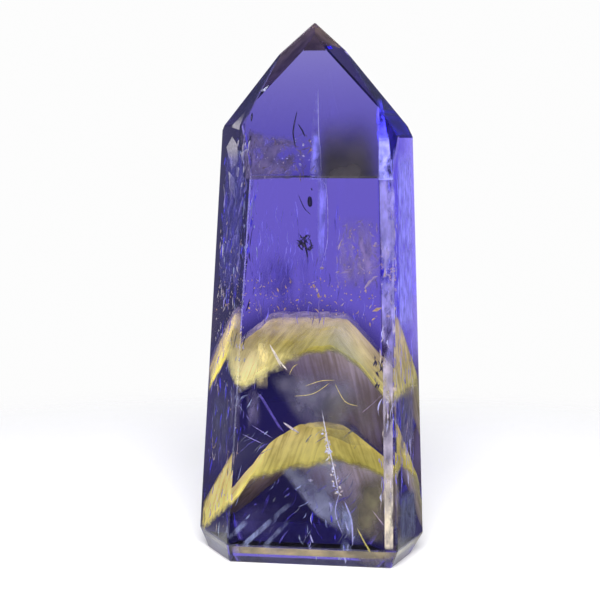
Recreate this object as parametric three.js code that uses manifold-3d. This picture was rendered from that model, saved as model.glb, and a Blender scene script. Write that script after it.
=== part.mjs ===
// A polished crystal point: one clear, tapered six-sided prism under a six-sided pyramid, with a bevel round its
// flat base, and two phantoms in it. A phantom is an older tip of the crystal, dusted yellow before the crystal grew
// on over it. Millimetres, +Z up. The origin is on the base, in the middle of the crystal's outline, and the widest
// prism face looks along -Y. The polished outside is convex, so it is described by its faces: each one is a plane
// that cuts off what lies outside. The phantoms are described in the same way, by the facets of the older tips.
import * as THREE from "three";
import { ConvexGeometry } from "three/addons/geometries/ConvexGeometry.js";
import { mergeVertices } from "three/addons/utils/BufferGeometryUtils.js";
import Module from "manifold-3d";

const HEIGHT = 80; // base to tip
const TIP_OFFSET = { x: 0, y: 1.6 }; // the tip stands a little behind the line that the sides are measured from
const EDGE_WIDTH = 0.3; // the narrow flat that polishing leaves along every edge
const SAME_POINT = 0.01; // corners closer than this are one corner
const ROUNDING = 1e-6; // how far a corner may lie outside a plane through it, after rounding
const PARALLEL = 1e-9; // three planes meet in no one point where their normals' determinant is under this

// The six sides, going round from the front. Each has a prism face, a pyramid face above and a bevel below.
//   azimuth       the way the side looks, in degrees from -Y towards +X
//   reach         distance from the upright line to the prism face, at the height of the base
//   lean          how far the prism face leans inwards from upright, in degrees
//   slope         the pyramid face's angle from the horizontal, in degrees
//   rise          how far above the tip the pyramid face would meet the tip's upright line
//   bevelHeight   height of the bevel's upper edge above the base
//   bevelInset    how far the bevel has cut in where it meets the base
const SIDES = [
  { azimuth: 0, reach: 12.8, lean: 1.2, slope: 60, rise: 0, bevelHeight: 3.0, bevelInset: 2.0 },
  { azimuth: 78.5, reach: 16.8, lean: 1.4, slope: 51.5, rise: 2.4, bevelHeight: 3.1, bevelInset: 1.6 },
  { azimuth: 117, reach: 15.1, lean: 2.1, slope: 52.5, rise: 0, bevelHeight: 3.0, bevelInset: 2.5 },
  { azimuth: 181, reach: 11.7, lean: 2.0, slope: 55, rise: 4.7, bevelHeight: 3.0, bevelInset: 1.6 },
  { azimuth: 252.5, reach: 16.0, lean: 2.4, slope: 51.5, rise: 0, bevelHeight: 3.0, bevelInset: 1.7 },
  { azimuth: 301.5, reach: 16.0, lean: 3.7, slope: 56.5, rise: 3.6, bevelHeight: 3.1, bevelInset: 1.2 },
];

// The phantoms. Each facet of the older tip looks along an azimuth, slopes down that way by an angle from the
// horizontal, and would meet the crystal's middle line at a height above the base. The first one is the worn top.
const PHANTOMS = [
  {
    name: "phantom_upper",
    facets: [
      { azimuth: 325, slope: 7, height: 35.6 },
      { azimuth: 47, slope: 39.5, height: 41.2 },
      { azimuth: 336, slope: 28.5, height: 36.7 },
      { azimuth: 334, slope: 51.5, height: 43.5 },
      { azimuth: 260.5, slope: 50, height: 42.3 },
      { azimuth: 75, slope: 50, height: 43.3 },
      { azimuth: 158.5, slope: 63.5, height: 39.5 },
    ],
  },
  {
    name: "phantom_lower",
    facets: [
      { azimuth: 37, slope: 3, height: 20.4 },
      { azimuth: 22.5, slope: 35.5, height: 25.1 },
      { azimuth: 344, slope: 42.5, height: 24.7 },
      { azimuth: 281, slope: 55.5, height: 26.4 },
      { azimuth: 239.5, slope: 43, height: 18.8 },
      { azimuth: 106.5, slope: 39.5, height: 24.1 },
      { azimuth: 151.5, slope: 60, height: 23.3 },
    ],
  },
];
const DUST_THICKNESS = 0.6; // of a phantom's layer of dust
const DUST_INSET = 0.45; // how far a phantom ends inside the crystal's polished faces
const POCKET_GAP = 0.3; // clearance round a phantom in the pocket that holds it
const BACK_WALL = 2.0; // clear crystal left whole behind the pockets
const BASE_WALL = 1.0; // clear crystal left whole under the pockets
const CLEAR_OF = 2; // how far one solid runs past another where it cuts all the way through
const FACES_ALONG = 0.9; // a face looks along a direction when that part of its unit normal is above this

const manifold = await Module();
manifold.setup();

// A plane whose outward normal looks along azimuth and is raised by elevation, both in degrees, through a point.
function facePlane(azimuth, elevation, point) {
  const around = THREE.MathUtils.degToRad(azimuth);
  const up = THREE.MathUtils.degToRad(elevation);
  const normal = new THREE.Vector3(
    Math.sin(around) * Math.cos(up),
    -Math.cos(around) * Math.cos(up),
    Math.sin(up),
  );
  return new THREE.Plane().setFromNormalAndCoplanarPoint(normal, point);
}

// The same plane, moved outwards by a distance.
function moved(plane, distance) {
  return new THREE.Plane(plane.normal.clone(), plane.constant - distance);
}

// The point at a height, straight out from the upright line along a side's azimuth.
function outward(azimuth, distance, height) {
  const around = THREE.MathUtils.degToRad(azimuth);
  return new THREE.Vector3(distance * Math.sin(around), -distance * Math.cos(around), height);
}

function prismFace({ azimuth, reach, lean }) {
  return facePlane(azimuth, lean, outward(azimuth, reach, 0));
}

function pyramidFace({ azimuth, slope, rise }) {
  return facePlane(azimuth, 90 - slope, new THREE.Vector3(TIP_OFFSET.x, TIP_OFFSET.y, HEIGHT + rise));
}

function bevelFace({ azimuth, reach, lean, bevelHeight, bevelInset }) {
  const narrowing = bevelHeight * Math.tan(THREE.MathUtils.degToRad(lean));
  const cut = bevelInset - narrowing; // the bevel's own width, measured along the horizontal
  const elevation = -THREE.MathUtils.radToDeg(Math.atan2(cut, bevelHeight));
  return facePlane(azimuth, elevation, outward(azimuth, reach - bevelInset, 0));
}

function baseFace() {
  return facePlane(0, -90, new THREE.Vector3(0, 0, 0));
}

function phantomFacet({ azimuth, slope, height }) {
  return facePlane(azimuth, 90 - slope, new THREE.Vector3(0, 0, height));
}

// Where three planes meet, or null if they are nearly parallel.
function meet(a, b, c) {
  const rows = new THREE.Matrix3().set(...a.normal.toArray(), ...b.normal.toArray(), ...c.normal.toArray());
  if (Math.abs(rows.determinant()) < PARALLEL) return null;
  return new THREE.Vector3(-a.constant, -b.constant, -c.constant).applyMatrix3(rows.invert());
}

// The corners of the solid inside all the planes.
function cornersOf(planes) {
  const corners = [];
  planes.forEach((a, i) =>
    planes.slice(i + 1).forEach((b, j) =>
      planes.slice(i + j + 2).forEach((c) => {
        const point = meet(a, b, c);
        if (!point) return;
        if (planes.some((plane) => plane.distanceToPoint(point) > ROUNDING)) return;
        if (corners.some((corner) => corner.distanceTo(point) < SAME_POINT)) return;
        corners.push(point);
      }),
    ),
  );
  return corners;
}

// The flats along the solid's edges, each at equal angles to the two faces that share the edge.
function edgeFlats(planes) {
  const corners = cornersOf(planes);
  const on = (plane) => corners.filter((corner) => Math.abs(plane.distanceToPoint(corner)) < SAME_POINT);
  const flats = [];
  planes.forEach((a, i) =>
    planes.slice(i + 1).forEach((b) => {
      const shared = on(a).filter((corner) => Math.abs(b.distanceToPoint(corner)) < SAME_POINT);
      if (shared.length < 2) return;
      const between = a.normal.angleTo(b.normal);
      const depth = (EDGE_WIDTH * Math.tan(between / 2)) / 2;
      const normal = a.normal.clone().add(b.normal).normalize();
      const point = shared[0].clone().addScaledVector(normal, -depth);
      flats.push(new THREE.Plane().setFromNormalAndCoplanarPoint(normal, point));
    }),
  );
  return flats;
}

// The crystal's broad faces, moved so that the origin is in the middle of its outline.
function crystalFaces() {
  const faces = [
    baseFace(),
    ...SIDES.map(prismFace),
    ...SIDES.map(pyramidFace),
    ...SIDES.map(bevelFace),
  ];
  const outline = new THREE.Box3().setFromPoints(cornersOf([...faces, ...edgeFlats(faces)]));
  const middle = outline.getCenter(new THREE.Vector3());
  const shift = new THREE.Vector3(-middle.x, -middle.y, -outline.min.z);
  return faces.map((plane) => plane.translate(shift));
}

// The solid inside all the planes, ready to be cut.
function solidInside(planes) {
  const geometry = new ConvexGeometry(cornersOf(planes));
  geometry.deleteAttribute("normal");
  const joined = mergeVertices(geometry, SAME_POINT / 10);
  return new manifold.Manifold(
    new manifold.Mesh({
      numProp: 3,
      vertProperties: new Float32Array(joined.attributes.position.array),
      triVerts: new Uint32Array(joined.index.array),
    }),
  );
}

function geometryOf(solid) {
  const { vertProperties, triVerts } = solid.getMesh();
  const geometry = new THREE.BufferGeometry();
  geometry.setAttribute("position", new THREE.BufferAttribute(new Float32Array(vertProperties), 3));
  geometry.setIndex(new THREE.BufferAttribute(new Uint32Array(triVerts), 1));
  const flat = geometry.toNonIndexed();
  flat.computeVertexNormals();
  return flat;
}

// The layer between a phantom's facets and the same facets lowered, widened by a gap above, below and at its back
// and lower borders. It ends inside the crystal's faces by an inset, or outside them where the inset is below zero.
function layer(faces, facets, gap, inset) {
  const tops = facets.map(phantomFacet);
  const back = faces.find((plane) => plane.normal.y > FACES_ALONG);
  const base = faces.find((plane) => plane.normal.z < -FACES_ALONG);
  const limits = [
    ...faces.map((plane) => moved(plane, -inset)),
    moved(back, gap - BACK_WALL - POCKET_GAP),
    moved(base, gap - BASE_WALL - POCKET_GAP),
  ];
  const outer = solidInside([...tops.map((plane) => moved(plane, gap)), ...limits]);
  const inner = solidInside([
    ...tops.map((plane) => moved(plane, -DUST_THICKNESS - gap)),
    ...limits.map((plane) => moved(plane, CLEAR_OF)),
  ]);
  return outer.subtract(inner);
}

function phantomGeometry(faces, { facets }) {
  return geometryOf(layer(faces, facets, 0, DUST_INSET));
}

// The whole crystal, less a pocket for each phantom. The pockets are open at all sides but the back.
function crystalGeometry(faces) {
  const whole = solidInside([...faces, ...edgeFlats(faces)]);
  const pockets = PHANTOMS.map(({ facets }) => layer(faces, facets, POCKET_GAP, -CLEAR_OF));
  return geometryOf(pockets.reduce((solid, pocket) => solid.subtract(pocket), whole));
}

// Clear violet-blue crystal with a glassy polish.
function crystalMaterial() {
  return new THREE.MeshStandardMaterial({ color: 0x6657b8, roughness: 0.04, metalness: 0 });
}

// Matt yellow mineral dust.
function dustMaterial() {
  return new THREE.MeshStandardMaterial({ color: 0xc4b45f, roughness: 0.9, metalness: 0 });
}

const point = new THREE.Group();
const polished = crystalFaces();
const crystal = new THREE.Mesh(crystalGeometry(polished), crystalMaterial());
crystal.name = "crystal";
point.add(crystal);
for (const phantom of PHANTOMS) {
  const dust = new THREE.Mesh(phantomGeometry(polished, phantom), dustMaterial());
  dust.name = phantom.name;
  point.add(dust);
}

export default point;
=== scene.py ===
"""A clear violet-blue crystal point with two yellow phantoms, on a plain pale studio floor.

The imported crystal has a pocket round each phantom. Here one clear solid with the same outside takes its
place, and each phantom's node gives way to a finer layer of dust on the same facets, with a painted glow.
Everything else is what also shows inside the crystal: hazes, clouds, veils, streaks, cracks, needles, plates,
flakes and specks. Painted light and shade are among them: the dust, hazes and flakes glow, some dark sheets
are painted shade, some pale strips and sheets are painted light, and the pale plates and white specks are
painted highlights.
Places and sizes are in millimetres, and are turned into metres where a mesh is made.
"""

import math
import random
from collections import namedtuple

import bmesh
import bpy
from mathutils import Euler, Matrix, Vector, noise


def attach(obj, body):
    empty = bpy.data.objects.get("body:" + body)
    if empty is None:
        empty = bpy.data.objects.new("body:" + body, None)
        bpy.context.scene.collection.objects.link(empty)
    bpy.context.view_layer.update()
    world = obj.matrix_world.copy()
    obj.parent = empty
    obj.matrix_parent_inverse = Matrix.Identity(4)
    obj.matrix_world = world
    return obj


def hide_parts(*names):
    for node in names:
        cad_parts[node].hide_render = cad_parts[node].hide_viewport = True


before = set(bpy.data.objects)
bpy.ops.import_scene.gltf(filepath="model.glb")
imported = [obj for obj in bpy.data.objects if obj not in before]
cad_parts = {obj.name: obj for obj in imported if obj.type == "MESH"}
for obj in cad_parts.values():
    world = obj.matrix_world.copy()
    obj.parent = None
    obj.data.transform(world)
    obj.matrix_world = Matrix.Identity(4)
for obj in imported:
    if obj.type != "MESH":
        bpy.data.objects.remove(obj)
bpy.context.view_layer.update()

MM = 0.001

# The camera stands three crystal heights away, a little to the right of the front face.
CAMERA_PLACE = (39.83, -246.65, 62.75)
CAMERA_TURN = 9.573  # degrees to the left of +Y
CAMERA_DIP = 5.605  # degrees below the horizon
CAMERA_FOCAL = 1658.8  # in pixels of the photograph's frame
FRAME_PIXELS = 600
SENSOR_WIDTH = 36.0

# What the clear crystal takes away in one millimetre of red, green and blue light.
CRYSTAL_IOR = 1.544
ABSORBED_PER_MM = (0.090, 0.104, 0.0285)

PALE = 0.98  # the backdrop as the camera sees it


# Small tools for materials


NOISE_ROUGHNESS = 0.55


class Nodes:
    """A material's node tree, with short calls to add nodes and join them."""

    def __init__(self, name):
        self.material = bpy.data.materials.new(name)
        self.material.use_nodes = True
        self.tree = self.material.node_tree
        self.tree.nodes.clear()
        self.output = self.tree.nodes.new("ShaderNodeOutputMaterial")

    def add(self, kind, settings=None, **inputs):
        node = self.tree.nodes.new("ShaderNode" + kind)
        for key, value in (settings or {}).items():
            setattr(node, key, value)
        for key, value in inputs.items():
            self.feed(node, key.replace("_", " "), value)
        return node

    def feed(self, node, key, value):
        socket = node.inputs[int(key)] if key.isdigit() else node.inputs[key]
        if isinstance(value, bpy.types.NodeSocket):
            self.tree.links.new(value, socket)
        else:
            socket.default_value = value

    def math(self, operation, a, b=0.0, clamp=False):
        node = self.add("Math", {"operation": operation, "use_clamp": clamp})
        self.feed(node, "0", a)
        self.feed(node, "1", b)
        return node.outputs[0]

    def noise(self, scale, detail, stretch=(1, 1, 1), shift=(0, 0, 0), distortion=0.0, place=None):
        place = place or self.add("NewGeometry").outputs["Position"]
        turned = self.add("Mapping", Vector=place, Scale=stretch, Location=shift)
        node = self.add("TexNoise", Vector=turned.outputs[0], Scale=scale, Detail=detail)
        self.feed(node, "Distortion", distortion)
        self.feed(node, "Roughness", NOISE_ROUGHNESS)
        return node.outputs["Fac"]

    def ramp(self, value, stops):
        node = self.add("ValToRGB", Fac=value)
        elements = node.color_ramp.elements
        while len(elements) < len(stops):
            elements.new(0.5)
        for element, (place, colour) in zip(elements, stops):
            element.position = place
            element.color = (*colour, 1)
        return node.outputs["Color"]

    def step(self, value, low, high, out_low=0.0, out_high=1.0):
        node = self.add("MapRange", {"interpolation_type": "SMOOTHSTEP"}, Value=value)
        for key, number in zip(("From Min", "From Max", "To Min", "To Max"), (low, high, out_low, out_high)):
            node.inputs[key].default_value = number
        return node.outputs["Result"]

    def attribute(self, name):
        return self.add("Attribute", {"attribute_name": name}).outputs["Fac"]

    def attribute_colour(self, name):
        return self.add("Attribute", {"attribute_name": name}).outputs["Color"]

    def add_shaders(self, first, second):
        node = self.add("AddShader")
        self.tree.links.new(first, node.inputs[0])
        self.tree.links.new(second, node.inputs[1])
        return node.outputs[0]

    def multiply_colours(self, first, second):
        return self.add("MixRGB", {"blend_type": "MULTIPLY"}, Fac=1.0, Color1=first, Color2=second).outputs[0]

    def mix(self, share, first, second):
        node = self.add("MixShader", Fac=share)
        self.tree.links.new(first, node.inputs[1])
        self.tree.links.new(second, node.inputs[2])
        return node.outputs[0]

    def surface(self, shader):
        self.tree.links.new(shader, self.output.inputs["Surface"])
        return self.material


# The clear crystal

FLAT_ANGLE = math.radians(0.3)  # faces that meet at less than this are one face
SAME_CORNER = 1e-7  # in metres
FACE_LEAST_WIDTH = 0.8 * MM  # the flats along the edges are narrower


def clear_outside():
    """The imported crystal's outside without its pockets: the hull of its corners, as a mesh."""
    shape = bmesh.new()
    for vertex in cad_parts["crystal"].data.vertices:
        shape.verts.new(vertex.co)
    bmesh.ops.remove_doubles(shape, verts=shape.verts, dist=SAME_CORNER)
    hull = bmesh.ops.convex_hull(shape, input=shape.verts)
    inner = [part for part in hull["geom_interior"] if isinstance(part, bmesh.types.BMVert)]
    bmesh.ops.delete(shape, geom=inner, context="VERTS")
    bmesh.ops.dissolve_limit(shape, angle_limit=FLAT_ANGLE, verts=shape.verts, edges=shape.edges)
    bmesh.ops.recalc_face_normals(shape, faces=shape.faces)
    mesh = bpy.data.meshes.new("crystal_clear")
    shape.to_mesh(mesh)
    shape.free()
    return mesh


def crystal_material():
    n = Nodes("clear_crystal")
    glass = n.add("BsdfPrincipled", Base_Color=(1, 1, 1, 1), Roughness=0.0, IOR=CRYSTAL_IOR)
    n.feed(glass, "Transmission Weight", 1.0)
    strongest = max(ABSORBED_PER_MM)
    passed = (*(1 - a / strongest for a in ABSORBED_PER_MM), 1)
    inside = n.add("VolumeAbsorption", Color=passed, Density=strongest / MM)
    n.tree.links.new(inside.outputs[0], n.output.inputs["Volume"])
    return n.surface(glass.outputs[0])


CLEAR_MESH = clear_outside()


def make_crystal():
    CLEAR_MESH.materials.append(crystal_material())
    crystal = bpy.data.objects.new("crystal_clear", CLEAR_MESH)
    bpy.context.scene.collection.objects.link(crystal)
    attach(crystal, "root")
    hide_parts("crystal")


# The crystal's faces, and places under them

PRISM_FACES = (-0.2, 0.2)  # how steeply a face's normal may point up or down, for each kind
TIP_FACES = (0.3, 0.9)
BEVEL_FACES = (-0.9, -0.2)
SIDE_AZIMUTHS = (0, 78.5, 117, 181, 252.5, 301.5)  # degrees from -Y towards +X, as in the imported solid


def longest_edge(polygon):
    corners = [CLEAR_MESH.vertices[index].co for index in polygon.vertices]
    return max((a - b).length for a, b in zip(corners, corners[1:] + corners[:1]))


Face = namedtuple("Face", "normal distance corners")  # an outward normal, and millimetres from the origin
FACES = [
    Face(
        face.normal.copy(),
        face.normal.dot(face.center) / MM,
        [CLEAR_MESH.vertices[index].co / MM for index in face.vertices],
    )
    for face in CLEAR_MESH.polygons if face.area > FACE_LEAST_WIDTH * longest_edge(face)
]


def face_at(azimuth, kind):
    """The face of a kind that looks most nearly along an azimuth."""
    a = math.radians(azimuth)
    towards = Vector((math.sin(a), -math.cos(a), 0.0))
    of_kind = [face for face in FACES if kind[0] < face.normal.z < kind[1]]
    return max(of_kind, key=lambda face: face.normal.xy.normalized().dot(towards.xy))


FRONT, RIGHT, _, BACK, _, LEFT = (face_at(a, PRISM_FACES) for a in SIDE_AZIMUTHS)
FRONT_TIP, RIGHT_TIP, BACK_RIGHT_TIP, BACK_TIP, BACK_LEFT_TIP, LEFT_TIP = (
    face_at(a, TIP_FACES) for a in SIDE_AZIMUTHS
)
FRONT_BEVEL, RIGHT_BEVEL, _, BACK_BEVEL, _, LEFT_BEVEL = (face_at(a, BEVEL_FACES) for a in SIDE_AZIMUTHS)


def across(face):
    """The level direction along a face, to the right as seen from outside."""
    out = face.normal.xy.normalized()
    return Vector((-out.y, out.x, 0.0))


def under(face, along, height, depth):
    """The point at a depth under a face, at a height, and so far along it to the right of its middle line."""
    normal, distance, _ = face
    level = normal.xy.length
    out = Vector((normal.x, normal.y, 0.0)) / level
    reach = (distance - depth - height * normal.z) / level
    return across(face) * along + out * reach + Vector((0, 0, height))


def width_at(face, height):
    """Where a face's outline lies at a height: the least and the greatest distance along it."""
    found = []
    for a, b in zip(face.corners, face.corners[1:] + face.corners[:1]):
        if min(a.z, b.z) <= height <= max(a.z, b.z) and a.z != b.z:
            found.append(across(face).dot(a.lerp(b, (height - a.z) / (b.z - a.z))))
    return min(found), max(found)


def depth_of(point):
    """How far a point is inside the nearest face."""
    return min(face.distance - face.normal.dot(point) for face in FACES)


def mesh_object(name, points, faces, material, smooth=False, values=None, colours=None):
    """A mesh from points in millimetres, with values and colours for its points."""
    mesh = bpy.data.meshes.new(name)
    mesh.from_pydata([Vector(p) * MM for p in points], [], faces)
    mesh.materials.append(material)
    for key, numbers in (values or {}).items():
        mesh.attributes.new(key, "FLOAT", "POINT").data.foreach_set("value", numbers)
    for key, rows in (colours or {}).items():
        flat = [v for row in rows for v in (*row, 1.0)]
        mesh.attributes.new(key, "FLOAT_COLOR", "POINT").data.foreach_set("color", flat)
    mesh.polygons.foreach_set("use_smooth", [smooth] * len(mesh.polygons))
    mesh.update()
    piece = bpy.data.objects.new(name, mesh)
    bpy.context.scene.collection.objects.link(piece)
    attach(piece, "root")
    return piece


class Patchwork:
    """Points and faces gathered into one mesh, with a tone and a cover for each point."""

    def __init__(self):
        self.points, self.faces, self.tones, self.covers = [], [], [], []

    def solid(self, points, faces, tone, cover=1.0):
        start = len(self.points)
        self.points += points
        self.faces += [tuple(start + i for i in face) for face in faces]
        self.tones += [tone] * len(points)
        self.covers += cover if isinstance(cover, list) else [cover] * len(points)

    def finish(self, name, material, smooth=True):
        mesh_object(
            name, self.points, self.faces, material, smooth,
            values={"cover": self.covers}, colours={"tone": self.tones},
        )


SHEET_STEPS = 24
SHEET_THICKNESS = 0.03
WAVE_SCALE = 0.17  # waves of a sheet, per millimetre


def thinned(share, width):
    """0 at a border, rising softly to 1 at a share of the sheet away from it."""
    if share >= width:
        return 1.0
    part = share / width
    return part * part * (3 - 2 * part)


def sheet(patches, place_at, normal, tone, cover, feather, wave, seed):
    """A thin wavy sheet that thins out at its borders. place_at gives its points for shares from 0 to 1.

    The feather is the share over which it thins: one for all borders, or four, for the left, lower, right and
    upper one.
    """
    left, lower, right, upper = feather if isinstance(feather, tuple) else (feather,) * 4
    shift = Vector((seed, seed, seed))
    points, covers = [], []
    for side in (0.5, -0.5):
        for i in range(SHEET_STEPS + 1):
            for j in range(SHEET_STEPS + 1):
                u, v = i / SHEET_STEPS, j / SHEET_STEPS
                place = place_at(u, v)
                ripple = noise.noise(place * WAVE_SCALE + shift)
                points.append(place + normal * (wave * ripple + side * SHEET_THICKNESS))
                thin = thinned(u, left) * thinned(v, lower) * thinned(1 - u, right) * thinned(1 - v, upper)
                covers.append(cover * thin)
    row = SHEET_STEPS + 1
    back = row * row
    faces = []
    for i in range(SHEET_STEPS):
        for j in range(SHEET_STEPS):
            a, b, c, d = i * row + j, (i + 1) * row + j, (i + 1) * row + j + 1, i * row + j + 1
            faces.append((a, b, c, d))
            faces.append((back + d, back + c, back + b, back + a))
    rim = [i * row for i in range(row)]
    rim += [SHEET_STEPS * row + j for j in range(1, row)]
    rim += [i * row + SHEET_STEPS for i in range(SHEET_STEPS - 1, -1, -1)]
    rim += [j for j in range(SHEET_STEPS - 1, 0, -1)]
    for a, b in zip(rim, rim[1:] + rim[:1]):
        faces.append((b, a, back + a, back + b))
    patches.solid(points, faces, tone, covers)


def face_sheet(patches, face, spots, depth, tone, cover, feather, wave, seed):
    """A sheet at a depth under a face, between four (along, height) corners in turn from the lower left."""
    lower_left, lower_right, upper_right, upper_left = (under(face, *spot, depth) for spot in spots)

    def place_at(u, v):
        return lower_left.lerp(lower_right, u).lerp(upper_left.lerp(upper_right, u), v)

    sheet(patches, place_at, face.normal, tone, cover, feather, wave, seed)


def face_sheets(patches, rows):
    """Sheets from rows of a face, four corners, depth, tone, cover, feather, wave and seed."""
    for row in rows:
        face_sheet(patches, *row)


FILM_DEPTH = 0.3
FILM_OVERLAP = 0.2  # how far a film may run past its face's own heights, to reach behind the flats there


def film(patches, face, heights, tone, cover, feather):
    """A flat sheet close under the whole width of a face, between two heights."""
    lowest = min(corner.z for corner in face.corners) + SHEET_THICKNESS
    highest = max(corner.z for corner in face.corners) - SHEET_THICKNESS
    low = max(heights[0], lowest - FILM_OVERLAP, SHEET_THICKNESS)
    high = min(heights[1], highest + FILM_OVERLAP)

    def place_at(u, v):
        height = low + (high - low) * v
        left, right = width_at(face, min(max(height, lowest), highest))
        return under(face, left + (right - left) * u, height, FILM_DEPTH)

    sheet(patches, place_at, face.normal, tone, cover, feather, wave=0.0, seed=0.0)


PLATE_THICKNESS = 0.06


def plate(patches, face, spots, tone):
    """A small flat flake with straight edges and (along, height, depth) corners in turn under a face."""
    corners = [under(face, *spot) for spot in spots]
    inwards = face.normal * -PLATE_THICKNESS
    count = len(corners)
    points = corners + [corner + inwards for corner in corners]
    faces = [tuple(range(count)), tuple(range(2 * count - 1, count - 1, -1))]
    for k in range(count):
        after = (k + 1) % count
        faces.append((after, k, count + k, count + after))
    patches.solid(points, faces, tone)


WISP_STEPS = 6
WISP_THICKNESS = 0.04
WISP_BEND = 0.15  # of its length, to either side
WISP_RIGHT_COVER = 0.25  # of the cover at its left border


def wisp(patches, face, spot, length, width, lean, tone, chance, cover=1.0):
    """A thin curved crack at (along, height, depth) under a face, leaning by degrees to the right of upright.

    It is pointed at both ends, and thins out from its left border to its right one.
    """
    middle = under(face, *spot)
    turn = math.radians(lean)
    along, height, depth = spot
    ahead = (under(face, along + math.sin(turn), height + math.cos(turn), depth) - middle).normalized()
    aside = ahead.cross(face.normal).normalized()
    bend = chance.uniform(-WISP_BEND, WISP_BEND) * length
    points = []
    for side in (0.5, -0.5):
        for k in range(WISP_STEPS + 1):
            share = k / WISP_STEPS
            bow = bend * (1 - (2 * share - 1) ** 2)
            wide = width * math.sin(math.pi * (0.04 + 0.92 * share)) * chance.uniform(0.6, 1.3)
            spine = middle + ahead * (share - 0.5) * length + aside * bow
            spine += face.normal * side * WISP_THICKNESS
            points += [spine - aside * wide * 0.35, spine + aside * wide * 0.65]
    back = 2 * (WISP_STEPS + 1)
    faces = [(0, 1, back + 1, back), (back - 1, back - 2, 2 * back - 2, 2 * back - 1)]
    for k in range(0, back - 2, 2):
        faces.append((k, k + 2, k + 3, k + 1))
        faces.append((back + k + 1, back + k + 3, back + k + 2, back + k))
        faces.append((k + 2, k, back + k, back + k + 2))
        faces.append((k + 1, k + 3, back + k + 3, back + k + 1))
    if all(depth_of(point) > SHEET_THICKNESS for point in points):
        patches.solid(points, faces, tone, [cover, cover * WISP_RIGHT_COVER] * back)


def wisps(patches, chance, face, low, high, count, lengths, widths, leans, tones, cover=1.0):
    """Wisps at random between two (along, height, depth) places under a face."""
    for _ in range(count):
        spot = [chance.uniform(a, b) for a, b in zip(low, high)]
        sizes = chance.uniform(*lengths), chance.uniform(*widths)
        wisp(patches, face, spot, *sizes, chance.uniform(*leans), chance.choice(tones), chance, cover)


def speck(patches, place, size, tone, chance):
    """A small eight-sided flake, turned at random."""
    turn = Euler([chance.uniform(0, 6.3) for _ in range(3)]).to_matrix()
    arms = [turn @ Vector(v) for v in ((size, 0, 0), (0, size * 0.6, 0), (0, 0, size * 0.35))]
    middle = Vector(place)
    points = [middle + arm * way for arm in arms for way in (1, -1)]
    faces = [(0, 2, 4), (2, 1, 4), (1, 3, 4), (3, 0, 4), (2, 0, 5), (1, 2, 5), (3, 1, 5), (0, 3, 5)]
    patches.solid(points, faces, tone)


def scatter(patches, chance, face, low, high, count, sizes, tones):
    """Specks at random between two (along, height, depth) places under a face."""
    for _ in range(count):
        spot = [chance.uniform(a, b) for a, b in zip(low, high)]
        place = under(face, *spot)
        if depth_of(place) > sizes[1]:
            speck(patches, place, chance.uniform(*sizes), chance.choice(tones), chance)


NEEDLE_SIDES = 5
NEEDLE_STEPS = 4  # rings between two of a needle's given points


def smooth_point(before, a, b, after, share):
    """A point between a and b on a smooth curve that also heeds the points before and after them."""
    square, cube = share ** 2, share ** 3
    return 0.5 * (
        2 * a + (b - before) * share + (2 * before - 5 * a + 4 * b - after) * square
        + (3 * a - before - 3 * b + after) * cube
    )


def needle(patches, face, spots, radius, tone):
    """A thin crystal or crack that runs through (along, height, depth) places and is pointed at both ends."""
    spots = [under(face, *spot) for spot in spots]
    path = []
    for before, a, b, after in zip([spots[0]] + spots, spots, spots[1:], spots[2:] + [spots[-1]]):
        path += [smooth_point(before, a, b, after, k / NEEDLE_STEPS) for k in range(NEEDLE_STEPS)]
    path.append(spots[-1])
    points, faces = [path[0]], []
    for index, spot in enumerate(path[1:-1], 1):
        ahead = (path[index + 1] - path[index - 1]).normalized()
        aside = ahead.orthogonal().normalized()
        other = ahead.cross(aside)
        wide = radius * math.sin(math.pi * index / (len(path) - 1)) ** 0.5
        for k in range(NEEDLE_SIDES):
            angle = 2 * math.pi * k / NEEDLE_SIDES
            points.append(spot + (aside * math.cos(angle) + other * math.sin(angle)) * wide)
    points.append(path[-1])
    rings = len(path) - 2
    for k in range(NEEDLE_SIDES):
        after = (k + 1) % NEEDLE_SIDES
        faces.append((0, 1 + after, 1 + k))
        for ring in range(rings - 1):
            a, b = 1 + ring * NEEDLE_SIDES + k, 1 + ring * NEEDLE_SIDES + after
            faces.append((a, b, b + NEEDLE_SIDES, a + NEEDLE_SIDES))
        end = 1 + (rings - 1) * NEEDLE_SIDES
        faces.append((end + k, end + after, len(points) - 1))
    patches.solid(points, faces, tone)


# The stage


def make_camera():
    data = bpy.data.cameras.new("camera")
    data.sensor_width = SENSOR_WIDTH
    data.lens = CAMERA_FOCAL / FRAME_PIXELS * SENSOR_WIDTH
    data.clip_start = 0.01
    camera = bpy.data.objects.new("camera", data)
    bpy.context.scene.collection.objects.link(camera)
    camera.location = Vector(CAMERA_PLACE) * MM
    camera.rotation_euler = (math.radians(90 - CAMERA_DIP), 0, math.radians(CAMERA_TURN))
    bpy.context.scene.camera = camera


def card(tree, ray, azimuth, elevation, inner, outer):
    """A round soft card in the studio: 1 inside the inner angle and 0 outside the outer one, in degrees."""
    a, e = math.radians(azimuth), math.radians(elevation)
    towards = (math.sin(a) * math.cos(e), math.cos(a) * math.cos(e), math.sin(e))
    dot = tree.nodes.new("ShaderNodeVectorMath")
    dot.operation = "DOT_PRODUCT"
    tree.links.new(ray, dot.inputs[0])
    dot.inputs[1].default_value = towards
    edge = tree.nodes.new("ShaderNodeMapRange")
    edge.interpolation_type = "SMOOTHSTEP"
    tree.links.new(dot.outputs["Value"], edge.inputs["Value"])
    edge.inputs["From Min"].default_value = math.cos(math.radians(outer))
    edge.inputs["From Max"].default_value = math.cos(math.radians(inner))
    return edge.outputs["Result"]


# The studio: bright all round at eye level, dim overhead, with soft cards in a few directions.
STUDIO_COLOUR = (1.05, 1.05, 1.1)
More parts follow.
